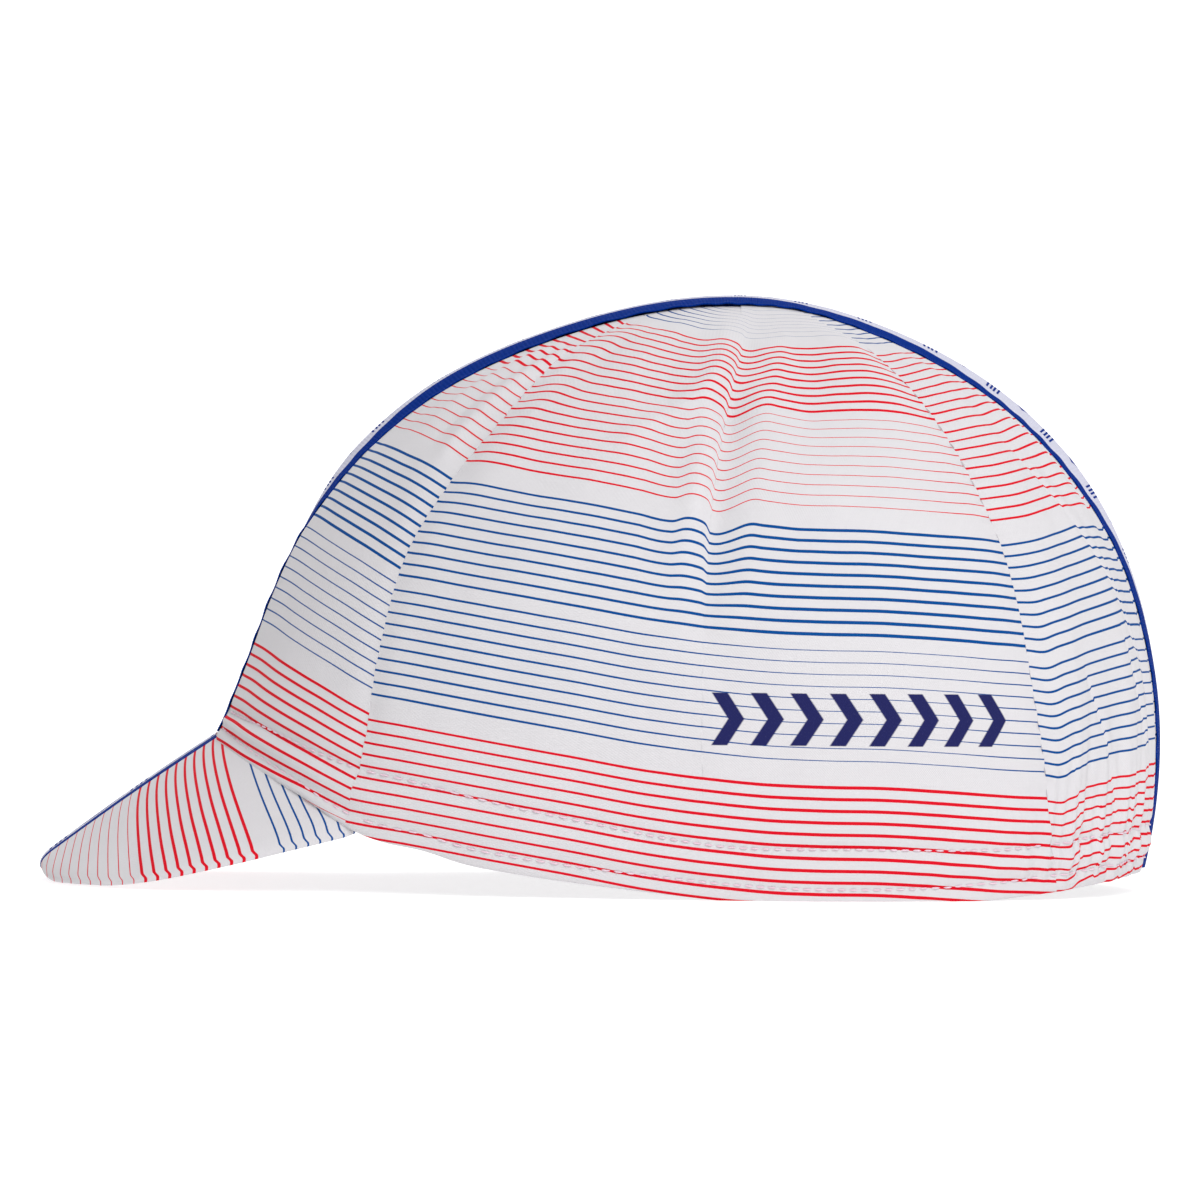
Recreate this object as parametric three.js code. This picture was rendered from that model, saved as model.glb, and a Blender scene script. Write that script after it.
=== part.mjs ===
// Cycling cap: six sewn cloth panels under a centre ribbon, a turned hem with an elastic back, and a short peak.
// Millimetres, +Z up. The peak points along -X, the wearer's left side is -Y, and the cap rests on Z = 0.
import * as THREE from "three";

// The crown
const crownLength = 208;
const crownBreadth = 158;
const crownHeight = 129;
const widestShare = 0.558; // share of the crown's length that lies ahead of its widest section
const planFullness = 2.25; // 2 gives an ellipse, more gives squarer shoulders
const clothWall = 1.2;
const seamGap = 0.3; // between two panels, and between a panel and what lies on it

// The ribbon over the crown and along the peak
const ribbonWidth = 28;
const ribbonWall = 0.8;
const ribbonGap = 0.35;

// The turned hem and the elastic casing inside the panels
const bandHeight = 14;
const bandWall = 1;
const bandGap = 0.6;
const bandDrop = 2.5; // how far the band hangs behind the peak's root

// The peak
const peakReach = 38.7; // ahead of the crown's front, seen from above
const peakBreadth = 120;
const peakWall = 2.4;
const peakGap = 0.5; // between its root and the crown's outer face, in the middle
const peakLap = 1; // how far the middle of its root stands above the hem's edge
const peakTuck = 0.3; // how far the ends of its root lie behind the crown's outer face
const peakRise = 0.6; // how far the peak bows up between its root and its edge

// The folds
const foldDepth = 2.4;
const foldReach = 8;
const dartDepth = 2.6;
const dartReach = 4.5;
const seamDip = 0.7; // how far the cloth sinks at a seam
const seamReach = 3.2;
const gatherDepth = 0.6;
const gathersPerSide = 7;

// How finely each piece is faceted
const facets = {
  front: { columns: 8, rows: 14 },
  side: { columns: 24, rows: 15 },
  rear: { columns: 26, rows: 13 },
  ribbon: { columns: 40, rows: 4 },
  band: { columns: 56, rows: 2 },
  casing: { columns: 60, rows: 2 },
  peak: { columns: 22, rows: 5 },
};

// How full a level section of the crown is, by its share of the crown's height
const crownSections = [
  { rise: 0.0, ahead: 1.03, behind: 0.96, across: 0.955 },
  { rise: 0.15, ahead: 1.03, behind: 1.01, across: 0.99 },
  { rise: 0.3, ahead: 1.0, behind: 1.051, across: 1.04 },
  { rise: 0.45, ahead: 0.997, behind: 1.083, across: 1.075 },
  { rise: 0.6, ahead: 1.02, behind: 1.115, across: 1.1 },
  { rise: 0.75, ahead: 1.058, behind: 1.146, across: 1.12 },
  { rise: 0.88, ahead: 1.06, behind: 1.137, across: 1.12 },
  { rise: 1.0, ahead: 0.97, behind: 1.03, across: 1.05 },
];

// The hem, by degrees of turn from the front: its share of the crown's height
const hemLine = [
  { turn: 0, rise: 0.245 },
  { turn: 10, rise: 0.235 },
  { turn: 20, rise: 0.203 },
  { turn: 28, rise: 0.162 },
  { turn: 35, rise: 0.112 },
  { turn: 41, rise: 0.073 },
  { turn: 50, rise: 0.052 },
  { turn: 62, rise: 0.034 },
  { turn: 76, rise: 0.015 },
  { turn: 90, rise: 0.002 },
  { turn: 105, rise: -0.004 },
  { turn: 120, rise: -0.001 },
  { turn: 132, rise: 0.009 },
  { turn: 147, rise: 0.024 },
  { turn: 162, rise: 0.036 },
  { turn: 180, rise: 0.043 },
];

// The seams, by lean from the top of the crown (0) to its base (1): degrees of turn from the front
const frontSeam = [
  { lean: 0.0, turn: 35 },
  { lean: 0.2, turn: 35 },
  { lean: 0.3, turn: 38 },
  { lean: 0.42, turn: 40 },
  { lean: 0.52, turn: 38.3 },
  { lean: 0.62, turn: 36.3 },
  { lean: 0.75, turn: 36.6 },
  { lean: 0.86, turn: 36.8 },
  { lean: 1.0, turn: 33.5 },
];
const dartLine = [
  { lean: 0.0, turn: 104 },
  { lean: 0.1, turn: 101 },
  { lean: 0.2, turn: 93 },
  { lean: 0.3, turn: 89 },
  { lean: 0.42, turn: 86 },
  { lean: 0.6, turn: 84 },
  { lean: 1.0, turn: 84 },
];
const backSeam = [
  { lean: 0.0, turn: 134 },
  { lean: 0.5, turn: 133.4 },
  { lean: 0.62, turn: 134.6 },
  { lean: 0.77, turn: 135.2 },
  { lean: 0.85, turn: 136.8 },
  { lean: 0.92, turn: 138.6 },
  { lean: 1.0, turn: 142 },
];
const frontLine = [
  { lean: 0, turn: 0 },
  { lean: 1, turn: 0 },
];
const backLine = [
  { lean: 0, turn: 180 },
  { lean: 1, turn: 180 },
];

// How deep the dart is along its line, as a share of its depth
const dartStrength = [
  { lean: 0.0, share: 0 },
  { lean: 0.14, share: 0.2 },
  { lean: 0.3, share: 0.7 },
  { lean: 0.5, share: 0.9 },
  { lean: 0.62, share: 1 },
  { lean: 0.7, share: 0.35 },
  { lean: 0.78, share: 0 },
  { lean: 1.0, share: 0 },
];

// Folds of one side: each runs from one place to another, up or down by a share of foldDepth,
// and dies out sideways within a share of foldReach
const folds = [
  { fromTurn: 79, fromLean: 0.3, toTurn: 80, toLean: 0.58, depth: 0.24, reach: 0.7 },
  { fromTurn: 72, fromLean: 0.3, toTurn: 76, toLean: 0.6, depth: -0.18, reach: 0.9 },
  { fromTurn: 97, fromLean: 0.28, toTurn: 91, toLean: 0.62, depth: 0.26, reach: 0.8 },
  { fromTurn: 60, fromLean: 0.26, toTurn: 62, toLean: 0.42, depth: 0.18, reach: 0.9 },
  { fromTurn: 112, fromLean: 0.22, toTurn: 106, toLean: 0.36, depth: -0.22, reach: 0.9 },
  { fromTurn: 122, fromLean: 0.25, toTurn: 119, toLean: 0.42, depth: 0.2, reach: 0.8 },
  { fromTurn: 79, fromLean: 0.68, toTurn: 70, toLean: 0.76, depth: -0.12, reach: 1.1 },
  { fromTurn: 92, fromLean: 0.7, toTurn: 102, toLean: 0.78, depth: -0.1, reach: 1.2 },
  { fromTurn: 46, fromLean: 0.24, toTurn: 45, toLean: 0.5, depth: 0.16, reach: 0.6 },
  { fromTurn: 31, fromLean: 0.3, toTurn: 33, toLean: 0.56, depth: 0.2, reach: 0.55 },
  { fromTurn: 141, fromLean: 0.35, toTurn: 141, toLean: 0.82, depth: 0.22, reach: 0.55 },
  { fromTurn: 149, fromLean: 0.4, toTurn: 149, toLean: 0.9, depth: -0.3, reach: 0.55 },
  { fromTurn: 158, fromLean: 0.45, toTurn: 157, toLean: 0.9, depth: 0.28, reach: 0.6 },
  { fromTurn: 167, fromLean: 0.5, toTurn: 165, toLean: 0.9, depth: -0.24, reach: 0.5 },
];

// The peak's edge from its middle to its root: where its line starts along the crown's front hem,
// and shares of peakReach, of half the peak's breadth and of the front hem's height
const peakEdge = [
  { join: 0.0, ahead: 1.0, aside: 0.0, up: 0.085 },
  { join: 0.13, ahead: 0.978, aside: 0.167, up: 0.062 },
  { join: 0.24, ahead: 0.936, aside: 0.333, up: 0.026 },
  { join: 0.34, ahead: 0.872, aside: 0.483, up: 0.002 },
  { join: 0.46, ahead: 0.767, aside: 0.617, up: 0.0 },
  { join: 0.56, ahead: 0.633, aside: 0.717, up: 0.0 },
  { join: 0.63, ahead: 0.508, aside: 0.783, up: 0.004 },
  { join: 0.74, ahead: 0.258, aside: 0.883, up: 0.048 },
  { join: 0.84, ahead: -0.1, aside: 0.95, up: 0.133 },
  { join: 0.93, ahead: -0.43, aside: 0.98, up: 0.213 },
  { join: 0.98, ahead: -0.75, aside: 0.985, up: 0.3 },
  { join: 1.0, ahead: -0.84, aside: 0.975, up: 0.34 },
];

// Places that follow from the sizes above
const crownAhead = crownLength * widestShare;
const crownBehind = crownLength - crownAhead;
const topOpening = 0.07; // lean where the panels end, hidden under the ribbon
const peakRootTurn = 33.5;
const rearStart = 137; // degrees of turn where the gathers begin
const meridian = crownHeight * 1.3; // rough length of cloth from the top to the hem

const mix = (a, b, share) => a + (b - a) * share;
const radians = THREE.MathUtils.degToRad;
const degrees = THREE.MathUtils.radToDeg;
const smooth = (from, to, value) => THREE.MathUtils.smoothstep(value, from, to);

// Reads a column of a table at a value of its key, on a smooth curve through the rows
function follow(table, key, value, column) {
  const last = table.length - 1;
  const at = Math.min(Math.max(value, table[0][key]), table[last][key]);
  let i = 0;
  while (i < last - 1 && at > table[i + 1][key]) i++;
  const slope = (k) => {
    const a = table[Math.max(k - 1, 0)];
    const b = table[Math.min(k + 1, last)];
    return (b[column] - a[column]) / (b[key] - a[key]);
  };
  const step = table[i + 1][key] - table[i][key];
  const t = (at - table[i][key]) / step;
  const start = (1 + 2 * t) * (1 - t) ** 2 * table[i][column] + t * (1 - t) ** 2 * step * slope(i);
  const end = t * t * (3 - 2 * t) * table[i + 1][column] + t * t * (t - 1) * step * slope(i + 1);
  return start + end;
}

// Degrees from the front, whichever side a turn is on
const fromFront = (turn) => Math.abs(((turn + 540) % 360) - 180);
const leanOfRise = (rise) => Math.acos(rise) / (Math.PI / 2);
const hemRise = (turn) => follow(hemLine, "turn", fromFront(turn), "rise");
const hemLean = (turn) => leanOfRise(hemRise(turn));

// A point of the crown's unfolded cloth, by degrees of turn from the front and by lean from the top
function crownSurface(turn, lean) {
  const angle = radians(turn);
  const rise = Math.cos((lean * Math.PI) / 2);
  const spread = Math.sin((lean * Math.PI) / 2);
  const level = Math.max(rise, 0);
  const ahead = crownAhead * follow(crownSections, "rise", level, "ahead");
  const behind = crownBehind * follow(crownSections, "rise", level, "behind");
  const across = (crownBreadth / 2) * follow(crownSections, "rise", level, "across");
  const along = Math.cos(angle) > 0 ? ahead : behind;
  const flat =
    Math.abs(Math.cos(angle) / along) ** planFullness + Math.abs(Math.sin(angle) / across) ** planFullness;
  const radius = spread * flat ** (-1 / planFullness);
  return new THREE.Vector3(-radius * Math.cos(angle), -radius * Math.sin(angle), rise * crownHeight);
}

function crownNormal(turn, lean) {
  const step = 0.01;
  const place = Math.max(lean, step * 2);
  const down = crownSurface(turn, place + step).sub(crownSurface(turn, place - step));
  const round = crownSurface(turn + 1, place).sub(crownSurface(turn - 1, place));
  return down.cross(round).normalize();
}

// Distance in millimetres between two turns at a place on the crown
function apart(turn, other, lean) {
  const place = crownSurface(turn, lean);
  return radians(turn - other) * Math.hypot(place.x, place.y);
}

function dartLift(turn, lean) {
  const away = apart(turn, follow(dartLine, "lean", lean, "turn"), lean);
  const strength = follow(dartStrength, "lean", lean, "share");
  const widen = away < 0 ? 1 : 1.35; // the cloth rolls in more sharply ahead of the dart
  const share = Math.abs(away / (dartReach * widen));
  return -dartDepth * strength * Math.exp(-(share ** 1.6));
}

function seamLift(turn, lean) {
  const lines = [frontSeam, backSeam];
  const dips = lines.map((line) => {
    const away = apart(turn, follow(line, "lean", lean, "turn"), lean);
    return Math.exp(-((away / seamReach) ** 2));
  });
  const held = smooth(0.15, 0.3, lean) * (1 - smooth(0.82, 0.9, lean)); // the turned hem stays level
  return -seamDip * (dips[0] + dips[1]) * held;
}

function foldLift(turn, lean) {
  return folds.reduce((sum, fold) => {
    const share = (lean - fold.fromLean) / (fold.toLean - fold.fromLean);
    const held = Math.min(Math.max(share, 0), 1);
    const beyond = (share - held) * (fold.toLean - fold.fromLean) * meridian;
    const away = apart(turn, mix(fold.fromTurn, fold.toTurn, held), lean);
    const reach = fold.reach * foldReach;
    return sum + fold.depth * foldDepth * Math.exp(-(away * away + (beyond * beyond) / 4) / (reach * reach));
  }, 0);
}

function gatherLift(turn, lean) {
  const along = (turn - rearStart) / (180 - rearStart);
  if (along < 0) return 0;
  const wave = Math.cos(2 * Math.PI * gathersPerSide * along);
  return gatherDepth * wave * smooth(0, 0.15, along) * smooth(0.62, 0.95, lean);
}

// A point of the crown's cloth with its folds, lifted off it by a distance
function crownPoint(turn, lean, lift) {
  const aside = fromFront(turn);
  const plain = crownSurface(turn, lean);
  const clear = smooth(ribbonWidth / 2 - 3, ribbonWidth / 2 + 4, Math.abs(plain.y));
  const relief = dartLift(aside, lean) + seamLift(aside, lean) + foldLift(aside, lean) + gatherLift(aside, lean);
  return plain.addScaledVector(crownNormal(turn, lean), relief * clear + lift);
}

// A closed wall over a grid: corner(u, v, side) gives its points, side 0 outside and 1 inside
function wallGeometry({ columns, rows }, corner) {
  const points = [];
  for (const side of [0, 1])
    for (let j = 0; j <= rows; j++)
      for (let i = 0; i <= columns; i++) {
        const point = corner(i / columns, j / rows, side);
        points.push(point.x, point.y, Math.max(point.z, 0)); // cloth that would sink lies flat
      }
  const at = (i, j, side) => (side * (rows + 1) + j) * (columns + 1) + i;
  const faces = [];
  const quad = (a, b, c, d) => faces.push(a, b, c, b, d, c);
  for (let j = 0; j < rows; j++)
    for (let i = 0; i < columns; i++) {
      quad(at(i, j, 0), at(i, j + 1, 0), at(i + 1, j, 0), at(i + 1, j + 1, 0));
      quad(at(i, j, 1), at(i + 1, j, 1), at(i, j + 1, 1), at(i + 1, j + 1, 1));
    }
  for (let i = 0; i < columns; i++) {
    quad(at(i, 0, 0), at(i + 1, 0, 0), at(i, 0, 1), at(i + 1, 0, 1));
    quad(at(i + 1, rows, 0), at(i, rows, 0), at(i + 1, rows, 1), at(i, rows, 1));
  }
  for (let j = 0; j < rows; j++) {
    quad(at(0, j + 1, 0), at(0, j, 0), at(0, j + 1, 1), at(0, j, 1));
    quad(at(columns, j, 0), at(columns, j + 1, 0), at(columns, j, 1), at(columns, j + 1, 1));
  }
  const geometry = new THREE.BufferGeometry();
  geometry.setAttribute("position", new THREE.Float32BufferAttribute(points, 3));
  geometry.setIndex(faces);
  geometry.computeVertexNormals();
  return geometry;
}

// One panel of the left side, between two seams
function panelGeometry(size, from, to, spacing) {
  const turnAt = (share, lean) => {
    const place = crownSurface(follow(from, "lean", lean, "turn"), lean);
    const trim = degrees(seamGap / 2 / Math.hypot(place.x, place.y));
    const start = follow(from, "lean", lean, "turn") + trim;
    const end = follow(to, "lean", lean, "turn") - trim;
    return spacing(share, lean, start, end);
  };
  return wallGeometry(size, (u, v, side) => {
    const bottom = hemLean(turnAt(u, 0.95));
    const lean = mix(topOpening, bottom, v);
    return crownPoint(turnAt(u, lean), lean, -side * clothWall);
  });
}

const evenly = (share, lean, start, end) => mix(start, end, share);

// Columns of the side panel crowd towards the dart, and the middle one follows it
function towardsDart(share, lean, start, end) {
  const middle = follow(dartLine, "lean", lean, "turn");
  const away = Math.abs(2 * share - 1) ** 1.35;
  return share < 0.5 ? mix(middle, start, away) : mix(middle, end, away);
}

// A point above the crown's middle line: lean runs from the front (negative) to the back.
// Away from the top a station keeps its lean across the ribbon, so that the ends follow the hem.
function ribbonPoint(lean, aside, lift) {
  let across = aside / meridian;
  let turn = 0;
  let reach = 0;
  for (let pass = 0; pass < 4; pass++) {
    const held = smooth(0.2, 0.5, Math.abs(lean));
    const along = lean * Math.sqrt(1 - held * Math.min(Math.abs(across / lean), 0.9) ** 2);
    turn = degrees(Math.atan2(-across, -along));
    reach = Math.hypot(along, across);
    const place = crownSurface(turn, reach);
    if (Math.abs(place.y) > 1e-6) across *= aside / place.y;
  }
  return crownPoint(turn, reach, lift);
}

function ribbonGeometry() {
  const start = -leanOfRise(hemRise(0) + (peakLap + 2 * ribbonGap) / crownHeight); // clear of the peak's root
  const end = hemLean(180);
  return wallGeometry(facets.ribbon, (u, v, side) => {
    const aside = mix(-ribbonWidth / 2, ribbonWidth / 2, 1 - v);
    return ribbonPoint(mix(start, end, u), aside, ribbonGap + (1 - side) * ribbonWall);
  });
}

// The turned hem inside the panels, between two turns
function bandGeometry(size, from, to) {
  return wallGeometry(size, (u, v, side) => {
    const turn = mix(from, to, u);
    const hem = hemRise(turn);
    const drop = bandDrop * (1 - smooth(peakRootTurn, peakRootTurn + 4, fromFront(turn)));
    const rise = mix(hem + bandHeight / crownHeight, hem - drop / crownHeight, v);
    return crownPoint(turn, leanOfRise(rise), -clothWall - bandGap - side * bandWall);
  });
}

const frontHem = crownSurface(0, hemLean(0));

// A point of the peak: along runs from its left root (-1) to its right root (1), out from its root (0) to its edge (1)
function peakPoint(along, out, lift) {
  const station = Math.abs(along) * (peakEdge.length - 1);
  const rows = peakEdge.map((row, index) => ({ ...row, index }));
  const read = (column) => follow(rows, "index", station, column);
  const turn = -Math.sign(along) * peakRootTurn * read("join");
  const tucked = smooth(0.55, 0.9, read("join")); // the ends of the root run under the hem
  const root = crownPoint(turn, hemLean(turn), mix(peakGap, -peakTuck, tucked));
  root.z += mix(peakLap, -seamGap - peakWall * 0.3, tucked);
  const edge = new THREE.Vector3(
    frontHem.x - peakReach * read("ahead"),
    (Math.sign(along) * peakBreadth * read("aside")) / 2,
    frontHem.z * read("up") + peakWall,
  );
  const point = root.lerp(edge, out);
  point.z += peakRise * Math.sin(Math.PI * out) + lift;
  return point;
}

function peakGeometry() {
  return wallGeometry(facets.peak, (u, v, side) => peakPoint(1 - 2 * u, v, -side * peakWall));
}

function peakRibbonGeometry() {
  const half = ribbonWidth / 2;
  const size = { columns: facets.ribbon.rows, rows: facets.peak.rows };
  const start = 0.06; // clear of the crown's ribbon end
  return wallGeometry(size, (u, v, side) => {
    const out = mix(start, 1, v);
    const wanted = mix(half, -half, u);
    let along = wanted / (peakBreadth / 2);
    for (let pass = 0; pass < 6; pass++) {
      const place = peakPoint(along, out, 0);
      if (Math.abs(place.y) > 1e-6) along *= wanted / place.y;
    }
    return peakPoint(along, out, ribbonGap + (1 - side) * ribbonWall);
  });
}

function finish(color, roughness) {
  return new THREE.MeshStandardMaterial({ color, roughness, metalness: 0 });
}

const stripedCloth = finish(0xe9e6ec, 0.85);
const ribbonCloth = finish(0x0b3c96, 0.7);
const hemCloth = finish(0xe4dfee, 0.85);
const elasticCloth = finish(0xdedbe6, 0.9);

function piece(name, geometry, material) {
  const mesh = new THREE.Mesh(geometry, material);
  mesh.name = name;
  return mesh;
}

const cap = new THREE.Group();
const panels = {
  front_panel: panelGeometry(facets.front, frontLine, frontSeam, evenly),
  side_panel: panelGeometry(facets.side, frontSeam, backSeam, towardsDart),
  rear_panel: panelGeometry(facets.rear, backSeam, backLine, evenly),
};
for (const [name, geometry] of Object.entries(panels)) {
  const left = piece(`${name}_left`, geometry, stripedCloth);
  const right = piece(`${name}_right`, geometry, stripedCloth);
  right.scale.y = -1;
  cap.add(left, right);
}
const casingTurn = 138;
const casingGap = 0.4; // degrees between the hem band and the elastic casing
cap.add(piece("crown_ribbon", ribbonGeometry(), ribbonCloth));
cap.add(piece("hem_band", bandGeometry(facets.band, -casingTurn, casingTurn), hemCloth));
const casing = bandGeometry(facets.casing, casingTurn + casingGap, 360 - casingTurn - casingGap);
cap.add(piece("elastic_casing", casing, elasticCloth));
cap.add(piece("peak", peakGeometry(), stripedCloth));
cap.add(piece("peak_ribbon", peakRibbonGeometry(), ribbonCloth));

// The origin is under the middle of the cap, on the surface that it rests on
const bounds = new THREE.Box3().setFromObject(cap);
cap.position.x = -(bounds.min.x + bounds.max.x) / 2;

export default cap;
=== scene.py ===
import math

import bpy
import numpy as np
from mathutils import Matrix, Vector


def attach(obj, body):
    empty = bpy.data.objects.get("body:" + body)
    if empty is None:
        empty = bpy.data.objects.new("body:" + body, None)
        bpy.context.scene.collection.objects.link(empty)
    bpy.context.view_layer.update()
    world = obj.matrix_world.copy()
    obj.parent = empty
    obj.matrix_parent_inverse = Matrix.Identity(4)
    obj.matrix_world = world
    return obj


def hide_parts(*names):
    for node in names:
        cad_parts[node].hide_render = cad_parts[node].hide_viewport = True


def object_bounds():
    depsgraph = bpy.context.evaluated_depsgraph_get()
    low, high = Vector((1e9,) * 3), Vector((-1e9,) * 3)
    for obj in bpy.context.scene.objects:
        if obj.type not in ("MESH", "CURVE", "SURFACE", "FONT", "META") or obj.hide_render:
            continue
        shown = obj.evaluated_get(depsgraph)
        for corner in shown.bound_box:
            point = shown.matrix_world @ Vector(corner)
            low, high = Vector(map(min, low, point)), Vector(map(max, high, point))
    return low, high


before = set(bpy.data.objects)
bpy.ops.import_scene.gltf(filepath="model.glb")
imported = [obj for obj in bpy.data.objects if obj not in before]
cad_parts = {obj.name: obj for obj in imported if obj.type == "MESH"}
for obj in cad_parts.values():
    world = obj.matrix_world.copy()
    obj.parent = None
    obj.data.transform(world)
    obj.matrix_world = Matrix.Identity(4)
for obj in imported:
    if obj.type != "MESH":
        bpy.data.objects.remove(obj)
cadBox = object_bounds()
mm = 0.001


def rows(names, *values):
    # a short table: the names of its columns, then a row for each section
    return [dict(zip(names.split(), line)) for line in values]


crown = {
    "length": 208, "breadth": 158, "height": 129,
    "widestShare": 0.558,  # share of the length that lies ahead of the widest section
    "planFullness": 2.25,  # 2 gives an ellipse, more gives squarer shoulders
    "wall": 1.2,
    "seamGap": 0.01,
    "slack": 1.15,  # how much longer the cloth is than the meridian's rough length
    "topOpening": 0.07,  # lean where the panels end, hidden under the ribbon
    "foldDepth": 2.4, "foldReach": 8,
    "dartDepth": 2.6, "dartReach": 4.5, "dartBehind": 1.35, "dartFall": 1.6,  # it falls away more slowly behind
    "seamDip": 0.7, "seamReach": 3.2,
    "gatherDepth": 0.6, "gathersPerSide": 7, "rearStart": 137,
}
crown["ahead"] = crown["length"] * crown["widestShare"]
crown["behind"] = crown["length"] - crown["ahead"]
crown["meridian"] = crown["height"] * 1.3  # rough length of cloth from the top to the hem

peak = {"reach": 38.7, "breadth": 120, "wall": 2.4, "rise": 0.6, "rootTurn": 33.5,
        "sink": 0.6, "lap": 1.7, "sideLap": 0.7,  # its root runs on under the hem's lip
        "roll": 2.6, "rollFrom": 0.92,  # how far in from the edge the cloth starts to turn round it
        "tapeLift": 0.2}

# How full a level section is, by its share of the crown's height
crownSections = rows("rise ahead behind across",
    (0.0, 1.03, 0.96, 0.955), (0.15, 1.03, 1.01, 0.99), (0.3, 1.0, 1.051, 1.04), (0.45, 0.997, 1.083, 1.075),
    (0.6, 1.02, 1.115, 1.1), (0.75, 1.058, 1.146, 1.12), (0.88, 1.06, 1.137, 1.12), (1.0, 0.97, 1.03, 1.05))
# The hem, by degrees of turn from the front: its share of the crown's height
hemLine = rows("turn rise",
    (0, 0.245), (10, 0.235), (20, 0.203), (28, 0.162), (35, 0.112), (39.5, 0.091), (45, 0.077), (50, 0.058),
    (56, 0.0445), (64, 0.031), (76, 0.016), (90, 0.002), (105, -0.004), (120, -0.001), (132, 0.009), (147, 0.024),
    (162, 0.036), (180, 0.043))
# The seams, by lean from the top of the crown (0) to its base (1): degrees of turn from the front
frontSeam = rows("lean turn",
    (0, 35), (0.2, 35), (0.3, 38), (0.42, 40), (0.52, 38.3), (0.62, 36.3), (0.75, 36.6), (0.86, 36.8), (1, 33.5))
dartLine = rows("lean turn", (0, 104), (0.1, 101), (0.2, 93), (0.3, 89), (0.42, 86), (0.6, 84), (1, 84))
backSeam = rows("lean turn",
    (0, 134), (0.5, 133.4), (0.62, 134.6), (0.77, 135.2), (0.85, 136.8), (0.92, 138.6), (1, 142))
frontLine = rows("lean turn", (0, 0), (1, 0))
backLine = rows("lean turn", (0, 180), (1, 180))
dartStrength = rows("lean share",
    (0, 0), (0.14, 0.2), (0.3, 0.7), (0.5, 0.9), (0.62, 1), (0.7, 0.35), (0.78, 0), (1, 0))
# Each fold runs from one place to another, up or down by a share of foldDepth
folds = rows("fromTurn fromLean toTurn toLean depth reach",
    (79, 0.3, 80, 0.58, 0.24, 0.7), (72, 0.3, 76, 0.6, -0.18, 0.9), (97, 0.28, 91, 0.62, 0.26, 0.8),
    (60, 0.26, 62, 0.42, 0.18, 0.9), (112, 0.22, 106, 0.36, -0.22, 0.9), (122, 0.25, 119, 0.42, 0.2, 0.8),
    (79, 0.68, 70, 0.76, -0.12, 1.1), (92, 0.7, 102, 0.78, -0.1, 1.2), (46, 0.24, 45, 0.5, 0.16, 0.6),
    (31, 0.3, 33, 0.56, 0.2, 0.55), (141, 0.35, 141, 0.82, 0.22, 0.55), (149, 0.4, 149, 0.9, -0.3, 0.55),
    (158, 0.45, 157, 0.9, 0.28, 0.6), (167, 0.5, 165, 0.9, -0.24, 0.5))


def follow(table, key, value, column):
    # reads a column at a value of its key, on a smooth curve through the rows
    keys = np.array([row[key] for row in table], float)
    column = np.array([row[column] for row in table], float)
    last = len(keys) - 1
    before, after = np.maximum(np.arange(last + 1) - 1, 0), np.minimum(np.arange(last + 1) + 1, last)
    slope = (column[after] - column[before]) / (keys[after] - keys[before])
    at = np.clip(value, keys[0], keys[-1])
    i = np.clip(np.searchsorted(keys, at) - 1, 0, last - 1)
    step = keys[i + 1] - keys[i]
    t = (at - keys[i]) / step
    start = (1 + 2 * t) * (1 - t) ** 2 * column[i] + t * (1 - t) ** 2 * step * slope[i]
    end = t * t * (3 - 2 * t) * column[i + 1] + t * t * (t - 1) * step * slope[i + 1]
    return start + end


def mix(a, b, share):
    return a + (b - a) * share


def smooth(start, end, value):
    t = np.clip((value - start) / (end - start), 0, 1)
    return t * t * (3 - 2 * t)


def bell(away, reach):
    return np.exp(-((away / reach) ** 2))


def fromFront(turn):
    return np.abs((turn + 540) % 360 - 180)


def leanOfRise(rise):
    return np.arccos(rise) / (np.pi / 2)


def hemRise(turn):
    return follow(hemLine, "turn", fromFront(turn), "rise")


def hemLean(turn):
    return leanOfRise(hemRise(turn))


def crownSurface(turn, lean):
    # the unfolded cloth, by degrees of turn from the front and by lean from the top
    angle = np.radians(turn)
    rise, spread = np.cos(lean * np.pi / 2), np.sin(lean * np.pi / 2)
    level = np.maximum(rise, 0)
    ahead = crown["ahead"] * follow(crownSections, "rise", level, "ahead")
    behind = crown["behind"] * follow(crownSections, "rise", level, "behind")
    across = crown["breadth"] / 2 * follow(crownSections, "rise", level, "across")
    along = np.where(np.cos(angle) > 0, ahead, behind)
    n = crown["planFullness"]
    radius = spread * (np.abs(np.cos(angle) / along) ** n + np.abs(np.sin(angle) / across) ** n) ** (-1 / n)
    return np.stack([-radius * np.cos(angle), -radius * np.sin(angle), rise * crown["height"]], -1)


def crownNormal(turn, lean):
    step = 0.01
    place = np.maximum(lean, step * 2)
    down = crownSurface(turn, place + step) - crownSurface(turn, place - step)
    around = crownSurface(turn + 1, place) - crownSurface(turn - 1, place)
    across = np.cross(down, around)
    return across / np.linalg.norm(across, axis=-1, keepdims=True)


def apart(turn, other, lean):
    # millimetres between two turns at a place on the crown
    place = crownSurface(turn, lean)
    return np.radians(turn - other) * np.hypot(place[..., 0], place[..., 1])


def aheadOf(turn, line, lean):
    return apart(turn, follow(line, "lean", lean, "turn"), lean)


def dartLift(turn, lean):
    away = aheadOf(turn, dartLine, lean)
    share = np.abs(away / (crown["dartReach"] * np.where(away < 0, 1, crown["dartBehind"])))
    return -crown["dartDepth"] * follow(dartStrength, "lean", lean, "share") * np.exp(-(share ** crown["dartFall"]))


def seamLift(turn, lean):
    dips = sum(bell(aheadOf(turn, line, lean), crown["seamReach"]) for line in (frontSeam, backSeam))
    return -crown["seamDip"] * dips * smooth(0.15, 0.3, lean) * (1 - smooth(0.82, 0.9, lean))


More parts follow.
